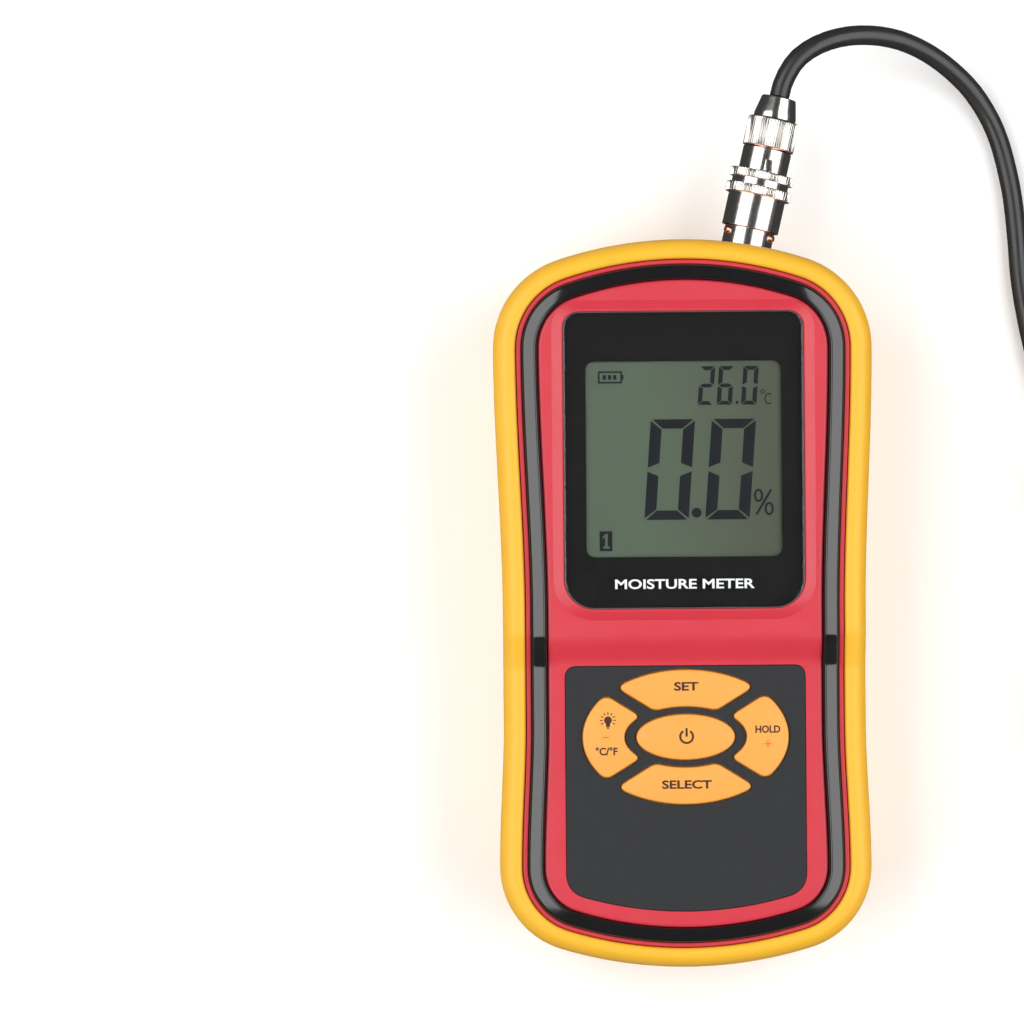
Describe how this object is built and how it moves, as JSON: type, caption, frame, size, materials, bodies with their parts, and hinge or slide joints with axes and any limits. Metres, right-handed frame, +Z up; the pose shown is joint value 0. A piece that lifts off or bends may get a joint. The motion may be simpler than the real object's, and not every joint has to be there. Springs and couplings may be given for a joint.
{
  "type": "grain moisture meter with probe",
  "caption": "Hand-held grain moisture meter in a yellow rubber boot, with display, keypad, bayonet socket, tied lead and two-prong steel probe.",
  "frame": {"origin": "middle of the meter's back rest face, on the rubber band that crosses the back of the boot", "axes": "+Z up out of the display, +Y along the meter towards the socket end, +X to the right of the display"},
  "size_m": [0.2092, 0.4423, 0.0399],
  "materials": {
    "boot_yellow": "satin moulded rubber",
    "case_red": "fine moulded plastic",
    "gloss_black": "polished",
    "panel_grey": "fine grained overlay",
    "key_amber": "moulded keys",
    "clear_window": "clear acrylic",
    "lcd_grey": "grey-green display glass",
    "diffuser_white": "frosted diffuser",
    "board_green": "solder mask",
    "black_plastic": "satin moulded plastic",
    "nickel": "bright nickel plate",
    "brass": "bright",
    "steel": "bright stainless steel",
    "screw_steel": "plated",
    "battery_wrap": "printed sleeve",
    "insulator_white": "off-white",
    "cord_black": "smooth cord jacket",
    "wire_red": "wire insulation"
  },
  "bodies": {
    "meter": {"boot": "boot_yellow", "front_case": "case_red", "rear_case": "case_red", "trim_ring": "gloss_black", "display_window": "clear_window", "window_mask": "gloss_black", "lcd_glass": "lcd_grey", "backlight": "diffuser_white", "keypad_panel": "panel_grey", "dome_set": "steel", "dome_select": "steel", "dome_hold": "steel", "dome_light": "steel", "dome_power": "steel", "main_board": "board_green", "controller_chip": "black_plastic", "buzzer": "black_plastic", "battery_1": "battery_wrap", "battery_2": "battery_wrap", "battery_3": "battery_wrap", "contact_plate_upper": "nickel", "contact_plate_lower": "nickel", "case_screw_1": "screw_steel", "case_screw_2": "screw_steel", "case_screw_3": "screw_steel", "case_screw_4": "screw_steel", "socket_barrel": "nickel", "socket_nut": "nickel", "socket_insulator": "insulator_white", "socket_contact": "brass"},
    "set_key": {"key_set": "key_amber"},
    "select_key": {"key_select": "key_amber"},
    "hold_key": {"key_hold": "key_amber"},
    "light_key": {"key_light": "key_amber"},
    "power_key": {"key_power": "key_amber"},
    "door": {"battery_door": "case_red"},
    "lead": {"plug_body": "nickel", "plug_insulator": "insulator_white", "clamp_nut": "nickel", "cable_clamp": "nickel", "cord_near": "cord_black", "cord_far": "cord_black", "cord_hank": "cord_black", "hank_tie": "black_plastic", "strain_relief": "cord_black", "handle_shell_upper": "black_plastic", "handle_shell_lower": "black_plastic", "handle_screw_lower": "screw_steel", "handle_screw_upper": "screw_steel", "handle_wire_left": "cord_black", "handle_wire_right": "wire_red", "prong_block": "black_plastic", "prong_left": "steel", "prong_right": "steel", "prong_tip_left": "steel", "prong_tip_right": "steel", "prong_nut_left": "nickel", "prong_nut_right": "nickel"},
    "sleeve": {"coupling_sleeve": "nickel"}
  },
  "joints": [
    {"name": "set_press", "type": "slide", "parent": "meter", "child": "set_key", "axis": [0, 0, -1], "range_m": [0, 0.0008], "stiffness_N_per_m": 1500},
    {"name": "select_press", "type": "slide", "parent": "meter", "child": "select_key", "axis": [0, 0, -1], "range_m": [0, 0.0008], "stiffness_N_per_m": 1500},
    {"name": "hold_press", "type": "slide", "parent": "meter", "child": "hold_key", "axis": [0, 0, -1], "range_m": [0, 0.0008], "stiffness_N_per_m": 1500},
    {"name": "light_press", "type": "slide", "parent": "meter", "child": "light_key", "axis": [0, 0, -1], "range_m": [0, 0.0008], "stiffness_N_per_m": 1500},
    {"name": "power_press", "type": "slide", "parent": "meter", "child": "power_key", "axis": [0, 0, -1], "range_m": [0, 0.0008], "stiffness_N_per_m": 1500},
    {"name": "battery_door_slide", "type": "slide", "parent": "meter", "child": "door", "axis": [0, -1, 0], "range_m": [0, 0.0064]},
    {"name": "plug_pull", "type": "slide", "parent": "meter", "child": "lead", "axis": [0.225, 0.9744, 0], "range_m": [0, 0.012]},
    {"name": "sleeve_turn", "type": "hinge", "parent": "lead", "child": "sleeve", "pos_m": [0.0149, 0.0795, 0.02], "axis": [0.225, 0.9744, 0], "range_deg": [0, 90]}
  ]
}
